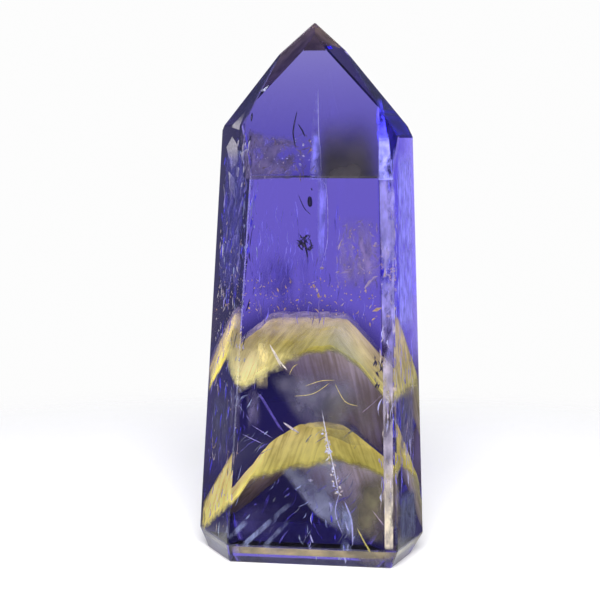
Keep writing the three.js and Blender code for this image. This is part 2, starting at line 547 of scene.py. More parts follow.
# A card has an azimuth, an elevation, an inner and an outer angle, all in degrees, and a colour.
CARDS = (
    (0, 90, 45, 68, (0.22, 0.22, 0.25)),
    (-9, -23, 7, 15, (0.58, 0.58, 0.80)),
    (30, -8, 13, 23, (0.10, 0.10, 0.14)),
    (-9, -11.5, 3, 4.5, (0.03, 0.03, 0.09)),
    (30, -34, 12, 20, (0.05, 0.05, 0.09)),
    (22, 18, 9, 17, (0.10, 0.10, 0.14)),
    (-53, -4, 9, 18, (0.15, 0.15, 0.2)),
    (-46, 18, 9, 17, (0.10, 0.10, 0.14)),
    (-171, -3, 12, 20, (0.12, 0.12, 0.16)),
    (-96, -10, 14, 30, (2.3, 2.4, 2.6)),
    (-141, -16, 9, 20, (3.0, 3.0, 3.0)),
)
# The lamp hangs above the camera, so that the crystal's shadow falls straight behind it.
LAMP_HEIGHT_ANGLE = 38
LAMP_DISTANCE = 600
LAMP_SIZE = 260
LAMP_POWER = 5.0


def mixed(tree, share, first, colour):
    """A colour socket's own colour, giving way to another one by a share."""
    mix = tree.nodes.new("ShaderNodeMix")
    mix.data_type = "RGBA"
    tree.links.new(share, mix.inputs["Factor"])
    tree.links.new(first, mix.inputs[6])
    mix.inputs[7].default_value = (*colour, 1)
    return mix.outputs[2]


def make_world():
    world = bpy.data.worlds.new("studio")
    bpy.context.scene.world = world
    world.use_nodes = True
    tree = world.node_tree
    background = tree.nodes["Background"]
    ray = tree.nodes.new("ShaderNodeTexCoord").outputs["Generated"]
    colour = tree.nodes.new("ShaderNodeRGB")
    colour.outputs[0].default_value = (*STUDIO_COLOUR, 1)
    last = colour.outputs[0]
    for azimuth, elevation, inner, outer, tone in CARDS:
        last = mixed(tree, card(tree, ray, azimuth, elevation, inner, outer), last, tone)
    by_camera = tree.nodes.new("ShaderNodeLightPath").outputs["Is Camera Ray"]
    seen = mixed(tree, by_camera, last, (PALE, PALE, PALE))
    tree.links.new(seen, background.inputs["Color"])


def make_lamp():
    data = bpy.data.lights.new("lamp", "AREA")
    data.size = LAMP_SIZE * MM
    data.energy = LAMP_POWER
    lamp = bpy.data.objects.new("lamp", data)
    bpy.context.scene.collection.objects.link(lamp)
    lift, turn = math.radians(LAMP_HEIGHT_ANGLE), math.radians(CAMERA_TURN)
    towards = Vector((math.sin(turn) * math.cos(lift), -math.cos(turn) * math.cos(lift), math.sin(lift)))
    lamp.location = towards * LAMP_DISTANCE * MM
    lamp.rotation_euler = towards.to_track_quat("Z", "Y").to_euler()


# The floor behind the crystal is dark to all but the camera's own rays, so it looks dark through the crystal.
# So is a part of the floor in front, which would show as a grey gloss on the front face.
FLOOR_REACH = 250
FLOOR_FADE = (100, 170)  # how far from the crystal the floor starts to fade, and is gone
FLOOR_TONE = 0.9
DARK_BEHIND = (-4, 12)  # how far behind the crystal's middle the darkness starts and is full
DARK_IN_FRONT = (16, 30)  # and how far in front of it
DARK_SIDE = (36, 22)  # how far to the sides the dark part in front ends, and is full
DARK_FLOOR_TONE = (0.13, 0.12, 0.19)
FLOOR_LIFT = 0.1  # added to the floor as the camera sees it, against the shade from the dim overhead card


def floor_material():
    """Pale and matt, fading into the backdrop so that no horizon shows."""
    n = Nodes("floor")
    place = n.add("NewGeometry").outputs["Position"]
    away = n.add("VectorMath", {"operation": "LENGTH"})
    n.feed(away, "0", place)
    fade = n.step(away.outputs["Value"], *(at * MM for at in FLOOR_FADE))
    x, y, _ = n.add("SeparateXYZ", Vector=place).outputs
    behind = n.step(y, *(at * MM for at in DARK_BEHIND))
    in_front = n.step(n.math("MULTIPLY", y, -1.0), *(at * MM for at in DARK_IN_FRONT))
    beside = n.step(n.math("ABSOLUTE", x), *(at * MM for at in DARK_SIDE))
    darkness = n.math("MAXIMUM", behind, n.math("MULTIPLY", in_front, beside))
    by_camera = n.add("LightPath").outputs["Is Camera Ray"]
    dark = n.math("MULTIPLY", darkness, n.math("SUBTRACT", 1.0, by_camera))
    pale = (FLOOR_TONE, FLOOR_TONE, FLOOR_TONE, 1)
    colour = n.add("MixRGB", Fac=dark, Color1=pale, Color2=(*DARK_FLOOR_TONE, 1))
    matt = n.add("BsdfDiffuse", Color=colour.outputs[0]).outputs[0]
    lift = n.add("Emission", Strength=n.math("MULTIPLY", by_camera, FLOOR_LIFT)).outputs[0]
    return n.surface(n.mix(fade, n.add_shaders(matt, lift), n.add("BsdfTransparent").outputs[0]))


def make_floor():
    mesh = bpy.data.meshes.new("floor")
    reach = FLOOR_REACH * MM
    corners = [(-reach, -reach, 0), (reach, -reach, 0), (reach, reach, 0), (-reach, reach, 0)]
    mesh.from_pydata(corners, [], [(0, 1, 2, 3)])
    mesh.materials.append(floor_material())
    floor = bpy.data.objects.new("floor", mesh)
    bpy.context.scene.collection.objects.link(floor)


# The phantoms: older tips of the crystal, dusted yellow and then grown over

PALE_YELLOW = (0.88, 0.79, 0.18)
YELLOW = (0.78, 0.70, 0.12)
CREAM = (1.6, 1.45, 0.34)
SAND = (0.57, 0.57, 0.24)

# Facets: azimuth, slope and height as in the imported solid, then the dust's tone and how much of it there is.
# The tones hold painted light besides the dust's colour: the facets facing left glow brightest, above white.
PHANTOMS = (
    {
        "name": "upper",
        "seed": 3.1,
        "facets": (
            (325, 7, 35.6, PALE_YELLOW, 0.95),
            (47, 39.5, 41.2, SAND, 0.8),
            (336, 28.5, 36.7, (0.68, 0.60, 0.09), 1.0),
            (334, 51.5, 43.5, (1.25, 1.15, 0.42), 1.0),
            (260.5, 50, 42.3, (2.5, 2.3, 0.42), 1.0),
            (75, 50, 43.3, (1.1, 1.02, 0.28), 0.75),
            (158.5, 63.5, 39.5, (0.9, 0.9, 0.36), 0.85),
        ),
    },
    {
        "name": "lower",
        "seed": 8.7,
        "facets": (
            (37, 3, 20.4, YELLOW, 1.0),
            (22.5, 35.5, 25.1, (0.68, 0.61, 0.11), 1.0),
            (344, 42.5, 24.7, PALE_YELLOW, 1.0),
            (281, 55.5, 26.4, CREAM, 1.0),
            (239.5, 43, 18.8, YELLOW, 0.9),
            (106.5, 39.5, 24.1, (1.15, 1.05, 0.16), 0.95),
            (151.5, 60, 23.3, (0.9, 0.9, 0.36), 0.9),
        ),
    },
)
PHANTOM_TURNS = 300  # points round a phantom
PHANTOM_RINGS = 64  # points from its middle to its rim
RIM_BETWEEN = (2.0, 22.0)  # the least and the greatest distance from its middle to its rim
RIM_PRECISION = 0.02
DUST_INSET = 0.45  # how far it ends inside the crystal's faces
BACK_WALL = 2.3  # and inside the back face
BASE_WALL = 1.3  # and above the base
DUST_THICKNESS = 0.35
RIDGE_WIDTH = 0.16  # over how much height two facets round into each other
TONE_WIDTH = 0.5  # and over how much height their tones blend
RIPPLE = 0.28
RIPPLE_SCALE = 0.35
RIM_WIDTH = 2.2  # the dust thins out over this much of its rim
RIM_LOSS = 0.8
# Painted shade: what is left of the dust's red, green and blue on its underside, on all facets but the last,
# at the back.
UNDERSIDE_SHADE = (0.5, 0.5, 0.9)


def facet_heights(spec, x, y):
    heights = []
    for azimuth, slope, height, _, _ in spec["facets"]:
        a = math.radians(azimuth)
        heights.append(height - math.tan(math.radians(slope)) * (x * math.sin(a) - y * math.cos(a)))
    return heights


def shares(heights, width):
    """How much each facet counts at a place: most for the lowest one there."""
    lowest = min(heights)
    weights = [math.exp((lowest - height) / width) for height in heights]
    return [weight / sum(weights) for weight in weights]


def phantom_height(spec, x, y):
    heights = facet_heights(spec, x, y)
    lowest = min(heights)
    nearness = sum(math.exp((lowest - height) / RIDGE_WIDTH) for height in heights)
    rounded = lowest - RIDGE_WIDTH * math.log(nearness)
    return rounded + RIPPLE * noise.fractal(Vector((x, y, spec["seed"])) * RIPPLE_SCALE, 0.9, 2.0, 4)


def is_phantom_place(point):
    """Whether a point is far enough inside the crystal for a phantom."""
    if point.z < BASE_WALL or BACK.distance - BACK.normal.dot(point) < BACK_WALL:
        return False
    return depth_of(point) > DUST_INSET


def phantom_points(spec, raised=0.0):
    """Rings of points on the phantom's facets, from its middle out to its rim."""
    rows = []
    for turn in range(PHANTOM_TURNS):
        angle = 2 * math.pi * turn / PHANTOM_TURNS
        out = Vector((math.cos(angle), math.sin(angle), 0.0))

        def place(reach):
            spot = out * reach
            spot.z = phantom_height(spec, spot.x, spot.y) + raised
            return spot

        inside, outside = RIM_BETWEEN
        while outside - inside > RIM_PRECISION:
            middle = (inside + outside) / 2
            if is_phantom_place(place(middle)):
                inside = middle
            else:
                outside = middle
        rows.append([place(inside * ring / PHANTOM_RINGS) for ring in range(1, PHANTOM_RINGS + 1)])
    return place(0.0), rows


def blend_tones(spec, point):
    weights = shares(facet_heights(spec, point.x, point.y), TONE_WIDTH)
    return tuple(sum(w * facet[3][k] for w, facet in zip(weights, spec["facets"])) for k in range(3))


# painted shade: the dust's underside is darker and bluer than its top, except on the last facet, at the back
def painted_underside_shade(spec, point, tone):
    behind = shares(facet_heights(spec, point.x, point.y), TONE_WIDTH)[-1]
    return tuple(value * (dim + (1 - dim) * behind) for value, dim in zip(tone, UNDERSIDE_SHADE))


def blend_dust(spec, point):
    weights = shares(facet_heights(spec, point.x, point.y), TONE_WIDTH)
    return sum(w * facet[4] for w, facet in zip(weights, spec["facets"]))


def fibre_place(spec, point):
    """A point's place on its facet: across the slope, down it, and which facet it is."""
    heights = facet_heights(spec, point.x, point.y)
    index = heights.index(min(heights))
    a = math.radians(spec["facets"][index][0])
    side = point.x * math.cos(a) + point.y * math.sin(a)
    return side, point.x * math.sin(a) - point.y * math.cos(a), index * 10


def layer_points(middle, rows, thickness):
    """A layer's upper points in one list, and the same with the lower points after them."""
    tops = [middle] + [point for row in rows for point in row]
    return tops, tops + [point - Vector((0, 0, thickness)) for point in tops]


def layer_faces():
    """A closed layer's faces. Its upper points come first, then its lower ones: a middle and its rows."""
    faces = []
    rings = PHANTOM_RINGS
    lower = 1 + PHANTOM_TURNS * rings
    for turn in range(PHANTOM_TURNS):
        here = 1 + turn * rings
        there = 1 + (turn + 1) % PHANTOM_TURNS * rings
        faces.append((0, here, there))
        faces.append((lower, lower + there, lower + here))
        for ring in range(rings - 1):
            a, b, c, d = here + ring, here + ring + 1, there + ring + 1, there + ring
            faces.append((a, b, c, d))
            faces.append((lower + d, lower + c, lower + b, lower + a))
        a, b = here + rings - 1, there + rings - 1
        faces.append((a, lower + a, lower + b, b))
    return faces


def dust_and_glow_material():
    """Matt mineral dust with fibres down each facet, and a painted glow: an emission that grows brighter where
    more crystal lies over it.
    """
    n = Nodes("phantom_dust")
    fibre = n.noise(1.0, 4, (1.1, 0.14, 1), distortion=1.2, place=n.attribute_colour("fibre"))
    cloud = n.noise(150, 4, (1, 1, 1), (0.7, 0.2, 0.4))
    grain = n.noise(1100, 5)
    mottle = n.math("ADD", n.math("MULTIPLY", fibre, 0.5), n.math("MULTIPLY", cloud, 0.5))
    shade = n.ramp(mottle, (
        (0.34, (0.50, 0.46, 0.34)),
        (0.46, (0.74, 0.71, 0.60)),
        (0.54, (0.95, 0.95, 0.92)),
        (0.64, (1.08, 1.08, 1.05)),
    ))
    colour = n.multiply_colours(n.attribute_colour("tone"), shade)
    matt = n.add("BsdfDiffuse", Color=n.multiply_colours(colour, (0.6, 0.6, 0.6, 1))).outputs[0]
    # painted light: the dust glows as an emission, more strongly the deeper it lies in the crystal
    strength = n.step(n.attribute("depth"), 0.0, 12.0, 0.35, 1.75)
    painted_glow = n.add("Emission", Color=colour, Strength=strength).outputs[0]
    ragged = n.math("ADD", n.math("MULTIPLY", grain, 0.6), n.math("MULTIPLY", cloud, 0.6))
    cover = n.math("ADD", n.attribute("cover"), n.math("SUBTRACT", ragged, 0.6))
    shown = n.step(cover, 0.15, 0.7)
    return n.surface(n.mix(shown, n.add("BsdfTransparent").outputs[0], n.add_shaders(matt, painted_glow)))


def rim_loss(row, ring):
    """How much of the dust is missing at a ring, out of a row from the phantom's middle to its rim."""
    to_rim = (row[-1] - row[ring]).xy.length
    return RIM_LOSS * max(0.0, 1 - to_rim / RIM_WIDTH)


def make_phantom(spec, material):
    middle, rows = phantom_points(spec)
    losses = [0.0] + [rim_loss(row, ring) for row in rows for ring in range(PHANTOM_RINGS)]
    tops, points = layer_points(middle, rows, DUST_THICKNESS)
    tones = [blend_tones(spec, point) for point in tops]
    tones += [painted_underside_shade(spec, point, tone) for point, tone in zip(tops, tones)]
    fibres = [fibre_place(spec, point) for point in tops] * 2
    covers = [blend_dust(spec, point) - loss for point, loss in zip(tops, losses)] * 2
    depths = [depth_of(point) for point in tops] * 2
    layer = mesh_object(
        "dust_" + spec["name"], points, layer_faces(), material, smooth=True,
        values={"cover": covers, "depth": depths}, colours={"tone": tones, "fibre": fibres},
    )
    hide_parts("phantom_" + spec["name"])


# A thin milky haze lies a little above the upper phantom's top and shows as a pale fringe. It is thinner over
# the two facets next to the top, and there is none over the others.
HAZE_RISE = 0.9
HAZE_TONE = (0.64, 0.63, 0.60)
HAZE_COVER = 0.7
HAZE_SLOPES = 0.3
HAZE_WIDTH = 1.5


def make_phantom_haze(spec, material):
    tops, points = layer_points(*phantom_points(spec, HAZE_RISE), SHEET_THICKNESS)
    covers = []
    for point in tops:
        flat = shares(facet_heights(spec, point.x, point.y), HAZE_WIDTH)
        covers.append(HAZE_COVER * (flat[0] + HAZE_SLOPES * flat[1] + HAZE_SLOPES * flat[4]))
    mesh_object(
        "haze_" + spec["name"], points, layer_faces(), material, smooth=True,
        values={"cover": covers * 2}, colours={"tone": [HAZE_TONE] * len(points)},
    )


def make_phantoms():
    material = dust_and_glow_material()
    for spec in PHANTOMS:
        make_phantom(spec, material)
    make_phantom_haze(PHANTOMS[0], haze_and_glow_material("phantom_haze", 260, low=0.25, high=0.55, painted_glow=0.6))


# What else shows inside the crystal. Each kind is one mesh with one material, and its patches differ in tone.
# Places under a face are along it, up from the base and in from the face.

NAVY = (0.012, 0.010, 0.045)
UMBER = (0.18, 0.135, 0.18)
BROWN = (0.20, 0.15, 0.12)
TAUPE = (0.085, 0.08, 0.075)
LILAC = (0.55, 0.52, 0.85)
MILK = (0.75, 0.78, 1.0)
MIST_BLUE = (0.42, 0.50, 0.62)
BEIGE = (0.62, 0.52, 0.48)
OCHRE = (0.72, 0.50, 0.24)
GOLD = (0.90, 0.66, 0.25)
IVORY = (0.95, 0.88, 0.70)
WHITE = (0.95, 0.95, 1.0)
ASH = (0.62, 0.60, 0.58)


def haze_and_glow_material(name, scale, stretch=(1, 1, 1), low=0.30, high=0.60, painted_glow=0.2):
    """Fine dust in the tone of each patch, thicker and thinner in clouds, with a painted glow: an emission in
    the same tone.
    """
    n = Nodes(name)
    cloud = n.noise(scale, 5, stretch)
    blotch = n.noise(scale * 1.7, 5, stretch, (0.3, 0.1, 0.6))
    mottle = n.ramp(blotch, ((0.36, (0.62, 0.62, 0.68)), (0.64, (1.3, 1.3, 1.25))))
    tone = n.multiply_colours(n.attribute_colour("tone"), mottle)
    matt = n.add("BsdfDiffuse", Color=tone).outputs[0]
    lit_through = n.add("BsdfTranslucent", Color=tone).outputs[0]
    # painted light: the dust glows in its own tone
    painted_glow_shader = n.add("Emission", Color=tone, Strength=painted_glow).outputs[0]
    dust = n.add_shaders(n.mix(0.5, matt, lit_through), painted_glow_shader)
    share = n.math("MULTIPLY", n.attribute("cover"), n.step(cloud, low, high))
    return n.surface(n.mix(share, n.add("BsdfTransparent").outputs[0], dust))


def flake_and_glow_material():
    """Opaque flakes, specks and needles, each in its own tone, a little glossy, with a painted glow: a weak
    emission in that tone.
    """
    n = Nodes("flakes")
    mottle = n.ramp(n.noise(2500, 2), ((0.3, (0.55, 0.55, 0.55)), (0.7, (1, 1, 1))))
    colour = n.multiply_colours(n.attribute_colour("tone"), mottle)
    grain = n.add("BsdfPrincipled", Base_Color=colour, Emission_Color=colour, Roughness=0.35)
    # painted light: a weak glow
    n.feed(grain, "Emission Strength", 0.35)
    return n.surface(grain.outputs[0])


def make_hazes():
    """Soft clouds of dust with no edges of their own; one of them, under the front pyramid face, is a dark
    sheet of painted shade.
    """
    patches = Patchwork()
    # painted shade: a dark olive-grey sheet close under the front pyramid face, on its right, for a dark patch
    # that shows only through that face
    spots = ((1.6, 56.9), (13.2, 56.9), (11.4, 67.8), (0.8, 66.6))
    face_sheet(patches, FRONT_TIP, spots, 0.4, (0.06, 0.054, 0.058), 0.85, (0.25, 0.0, 0.4, 0.9), 0.0, 1.0)
    for face, heights, tone, cover, feather in (
        # brown zones close under the back faces of the tip, which show all round it
        (BACK_LEFT_TIP, (66.5, 79), UMBER, 0.9, (0.01, 0.35, 0.01, 0.01)),
        (BACK_TIP, (70, 79.2), (0.24, 0.18, 0.17), 0.9, 0.01),
        (BACK_RIGHT_TIP, (75.8, 79), (0.25, 0.19, 0.17), 0.9, 0.01),
        # saturated blue low in the right pyramid face
        (RIGHT_TIP, (58, 69), (0.03, 0.025, 0.42), 0.8, (0.02, 0.02, 0.02, 0.5)),
        # navy over the rest of the side faces of the tip
        (RIGHT_TIP, (64, 78.5), (0.05, 0.05, 0.15), 0.75, (0.01, 0.3, 0.01, 0.01)),
        (LEFT_TIP, (61, 78), (0.035, 0.033, 0.12), 0.6, (0.01, 0.2, 0.01, 0.01)),
        # slate dust along the back bevel, and beige dust along the ones in front
        (BACK_BEVEL, (0, 3.4), (0.13, 0.13, 0.22), 0.95, 0.01),
        (FRONT_BEVEL, (1.6, 2.9), (0.40, 0.33, 0.19), 0.9, 0.1),
        (LEFT_BEVEL, (2.0, 2.9), (0.2, 0.2, 0.17), 0.5, 0.1),
        (RIGHT_BEVEL, (2.0, 2.9), (0.36, 0.33, 0.14), 0.5, 0.1),
    ):
        film(patches, face, heights, tone, cover, feather)
    patches.finish("hazes", haze_and_glow_material("hazes", 150, low=0.12, high=0.45, painted_glow=0.4))


def make_clouds():
    """Slate and olive sheets behind the front facets of both phantoms: dust, and painted shade under the
    phantoms' arches. A navy sheet low on the left is painted shade alone.
    """
    patches = Patchwork()
    slate, olive = (0.38, 0.40, 0.36), (0.30, 0.29, 0.13)
    face_sheets(patches, (
        (FRONT, ((-0.4, 19.5), (11.5, 17.5), (9.6, 30.0), (-6.4, 28.4)),
         6, slate, 0.9, (0.18, 0.35, 0.35, 0.35), 1.2, 21.0),
        (FRONT, ((1.0, 16), (12.4, 14), (12.2, 27), (2.0, 27)), 4.5, olive, 0.8, 0.5, 1.2, 22.0),
        (FRONT, ((1.4, 7.4), (9.4, 1.6), (9.4, 17.5), (-6.8, 17.5)),
         6, (0.44, 0.50, 0.47), 0.95, (0.15, 0.15, 0.35, 0.2), 1.2, 23.0),
        (FRONT, ((6.4, 4), (12.6, 2.8), (12.6, 15), (5.6, 15.5)),
         4, olive, 0.9, (0.5, 0.2, 0.1, 0.4), 1.2, 24.0),
        # painted shade: a navy sheet low on the left
        (FRONT, ((-11, 2.5), (-2, 2.5), (-2, 11), (-11, 8)), 5, (0.10, 0.09, 0.22), 0.7, 0.4, 1.0, 25.0),
    ))
    patches.finish("clouds", haze_and_glow_material("clouds", 170, (1, 1, 0.8), low=0.30, high=0.72, painted_glow=0.4))


def make_veils():
    """Uneven healed cracks, wispy and pale, with strips and sheets of painted light and shade among them."""
    patches = Patchwork()
    face_sheets(patches, (
        (FRONT_TIP, ((-7.6, 56.6), (0.6, 56.6), (0.2, 61.5), (-8.9, 63.6)),
         3, (0.19, 0.16, 0.27), 0.8, (0.05, 0.02, 0.25, 0.2), 0.6, 2.0),
        # milky, blue and beige strips just behind the right edges of the front faces: milky haze, and painted
        # light where light comes in from the right and back, the bluest brighter than white
        (FRONT, ((12.2, 30), (13.8, 30), (13.8, 56.8), (11.5, 56.8)),
         0.4, (0.31, 0.28, 0.60), 0.8, (0.02, 0.1, 0.1, 0.0), 0.0, 4.0),
        (FRONT_TIP, ((11.4, 56.7), (13.6, 56.7), (12.4, 63.4), (11.0, 63.4)),
         0.4, (0.50, 0.50, 1.15), 0.9, (0.02, 0.0, 0.1, 0.3), 0.0, 4.5),
        (FRONT_TIP, ((10.9, 61.6), (12.6, 61.6), (11.0, 68.6), (10.2, 68.6)),
         0.4, (0.20, 0.18, 2.1), 0.95, (0.02, 0.3, 0.1, 0.7), 0.0, 4.7),
        (FRONT, ((12.5, 12), (13.9, 12), (13.7, 32), (12.2, 32)),
         0.4, (0.46, 0.42, 0.50), 0.9, (0.02, 0.1, 0.1, 0.1), 0.0, 5.0),
        (FRONT, ((12.7, 3.2), (14.0, 3.2), (13.9, 18), (12.5, 18)),
         0.3, (0.85, 0.78, 0.62), 0.95, (0.02, 0.02, 0.1, 0.7), 0.0, 5.5),
        # a milky crack that goes down from the tip through the middle
        (FRONT_TIP, ((0.9, 56.6), (2.7, 56.6), (1.15, 69.3), (0.5, 67.4)),
         4, (0.46, 0.46, 0.95), 0.8, (0.6, 0.0, 0.0, 0.3), 0.0, 9.0),
        (FRONT, ((2.3, 43.6), (3.1, 43.6), (3.7, 56.8), (1.9, 56.8)),
         4, (0.40, 0.38, 0.85), 0.7, (0.5, 0.2, 0.05, 0.0), 0.2, 8.0),
        # a beige cloud high on the right, and a blue-violet sheet of painted shade on the left
        (FRONT, ((4.4, 40), (12.4, 40), (12.2, 52), (4.8, 52)), 3, (0.34, 0.28, 0.42), 0.95, 0.5, 0.8, 12.0),
        (FRONT, ((-9, 35), (2.5, 35), (2.5, 47), (-8, 47)), 6, (0.09, 0.07, 0.30), 0.5, 0.5, 0.5, 13.0),
        # slate dust left of the lower phantom's top, and a painted highlight: the bright strip on the left of
        # the upper phantom
        (FRONT, ((-10.8, 16.5), (-5.2, 20.0), (-6.0, 26.2), (-10.6, 27)),
         2.5, (0.17, 0.155, 0.24), 0.85, (0.3, 0.5, 0.3, 0.2), 0.3, 15.0),
        (FRONT, ((-6.5, 26), (-4.7, 26), (-4.7, 35.2), (-6.1, 35.2)),
         1.6, (0.74, 0.66, 0.30), 0.9, (0.08, 0.25, 0.08, 0.4), 0.0, 14.0),
    ))
    # slanted blue-grey cracks in the foot
    for spots in (
        ((-10.2, 1.6), (-8.8, 1.6), (-0.6, 9.4), (-1.6, 9.6)),
        ((-6.2, 2.2), (-5.0, 2.2), (-1.2, 6.6), (-1.9, 6.9)),
        ((-11.3, 3.4), (-10.4, 3.0), (-7.6, 6.0), (-8.4, 6.6)),
        ((5.8, 1.8), (7.6, 1.8), (8.0, 8.6), (6.2, 9.6)),
    ):
        face_sheet(patches, FRONT, spots, 3, MIST_BLUE, 0.55, (0.2, 0.2, 0.35, 0.3), 0.5, spots[0][0])
    patches.finish("veils", haze_and_glow_material("veils", 420, (1, 1, 0.4), 0.36, 0.6, painted_glow=0.5))


def make_streaks():
    """Cracks seen nearly edge on: upright strokes of light. Broad sheets under the left and right faces add
    painted shade and painted light to those faces.
    """
    patches = Patchwork()
    chance = random.Random(11)
    blue, deep_blue, grey_blue = (0.10, 0.08, 0.85), (0.08, 0.06, 0.36), (0.26, 0.24, 0.60)
    # broad sheets close under the left and right faces: the dark ones are painted shade that darkens those
    # faces, and the pale blue one high under the right face is painted light that lightens it
    face_sheets(patches, (
        (LEFT, ((-6.4, 40), (3.2, 40), (2.8, 61), (-6.0, 61)), 0.9, (0.09, 0.08, 0.36), 0.4, 0.1, 0.3, 6.0),
        (LEFT, ((-6.8, 13), (3.6, 13), (3.4, 26), (-6.6, 26)),
         0.9, (0.08, 0.08, 0.14), 0.55, (0.3, 0.4, 0.3, 0.4), 0.3, 6.5),
        (RIGHT, ((-7.4, 16), (1.2, 16), (1.2, 26), (-6.6, 26)), 0.9, (0.15, 0.14, 0.22), 0.7, 0.25, 0.3, 7.5),
        (RIGHT, ((-7.6, 3), (1.2, 3), (1.2, 11), (-7.0, 11)), 0.9, (0.11, 0.13, 0.20), 0.8, 0.2, 0.3, 7.7),
        (RIGHT, ((-6.0, 34), (1.2, 34), (1.2, 61), (-5.2, 61)), 0.9, (0.42, 0.41, 0.95), 0.5, 0.1, 0.3, 7.0),
    ))
    for row in (
        (LEFT, (-6.5, 38, 0.6), (3.0, 62, 3), 200, (0.5, 3), (0.1, 0.6), (-35, 40),
         (LILAC, MIST_BLUE, blue, blue, grey_blue, deep_blue, NAVY, NAVY, ASH)),
        (LEFT, (-6, 38, 1), (2.6, 60, 3), 26, (1.5, 4.5), (0.4, 1.2), (-25, 30),
         ((0.06, 0.05, 0.55), NAVY, NAVY, LILAC, grey_blue), 0.8),
        (LEFT, (-6.8, 4, 0.6), (3.2, 38, 3), 90, (0.6, 3), (0.08, 0.4), (-20, 30),
         (MIST_BLUE, blue, blue, grey_blue, BEIGE, NAVY)),
        (RIGHT, (-6.5, 10, 0.6), (1.2, 60, 3), 90, (0.6, 4), (0.06, 0.3), (-12, 12),
         (MILK, LILAC, (0.35, 0.33, 0.95), (0.22, 0.20, 0.75))),
        (FRONT, (-8, 42, 3), (5, 52, 9), 110, (0.5, 3), (0.05, 0.22), (-10, 10),
         ((0.35, 0.32, 0.90), (0.45, 0.42, 0.95), (0.22, 0.19, 0.62)), 0.7),
        (FRONT, (5, 41, 2), (12, 51, 6), 60, (0.5, 2), (0.08, 0.4), (-50, 80),
         (BEIGE, (0.40, 0.33, 0.45), (0.30, 0.25, 0.50)), 0.7),
        (FRONT, (-8, 36, 3), (11, 45, 9), 110, (0.5, 2.5), (0.05, 0.25), (-16, 16),
         ((0.35, 0.32, 0.90), (0.16, 0.13, 0.45), (0.30, 0.25, 0.45)), 0.7),
        (FRONT_TIP, (-8.2, 56.8, 1.5), (1.5, 62.5, 5), 90, (0.3, 1.6), (0.05, 0.25), (-80, 80),
         (grey_blue, (0.30, 0.25, 0.28), (0.22, 0.19, 0.50), BROWN, BROWN), 0.8),
        (FRONT, (-8.5, 2, 1.5), (8, 20, 6), 90, (0.4, 3), (0.05, 0.25), (20, 60),
         (MIST_BLUE, (0.20, 0.18, 0.55), deep_blue, (0.21, 0.24, 0.25)), 0.8),
        (FRONT, (0, 1.5, 2), (9, 9, 5), 50, (0.4, 2), (0.06, 0.35), (-30, 30),
         (MILK, blue, deep_blue, MIST_BLUE), 0.8),
        (FRONT, (11.8, 6, 0.5), (13.8, 56, 2), 90, (0.5, 3), (0.06, 0.3), (-12, 12),
         (MILK, IVORY, BEIGE, (0.25, 0.22, 0.75)), 0.8),
        (RIGHT, (-6.8, 12, 0.6), (1.2, 34, 2.5), 55, (0.6, 3.5), (0.06, 0.3), (-15, 25),
         (MILK, blue, blue, deep_blue, NAVY, BEIGE)),
        (LEFT, (-6.5, 16, 1), (1.5, 26, 2.2), 16, (1, 3), (0.25, 0.7), (-20, 20),
         (blue, (0.08, 0.06, 0.50)), 0.8),
        (FRONT, (-11, 20, 1.5), (-6, 27, 5), 30, (0.5, 2), (0.06, 0.3), (-40, 60),
         (deep_blue, MIST_BLUE, grey_blue), 0.7),
    ):
        wisps(patches, chance, *row)
    patches.finish("streaks", haze_and_glow_material("streaks", 900, (1, 1, 0.35), 0.30, 0.52, painted_glow=0.55))


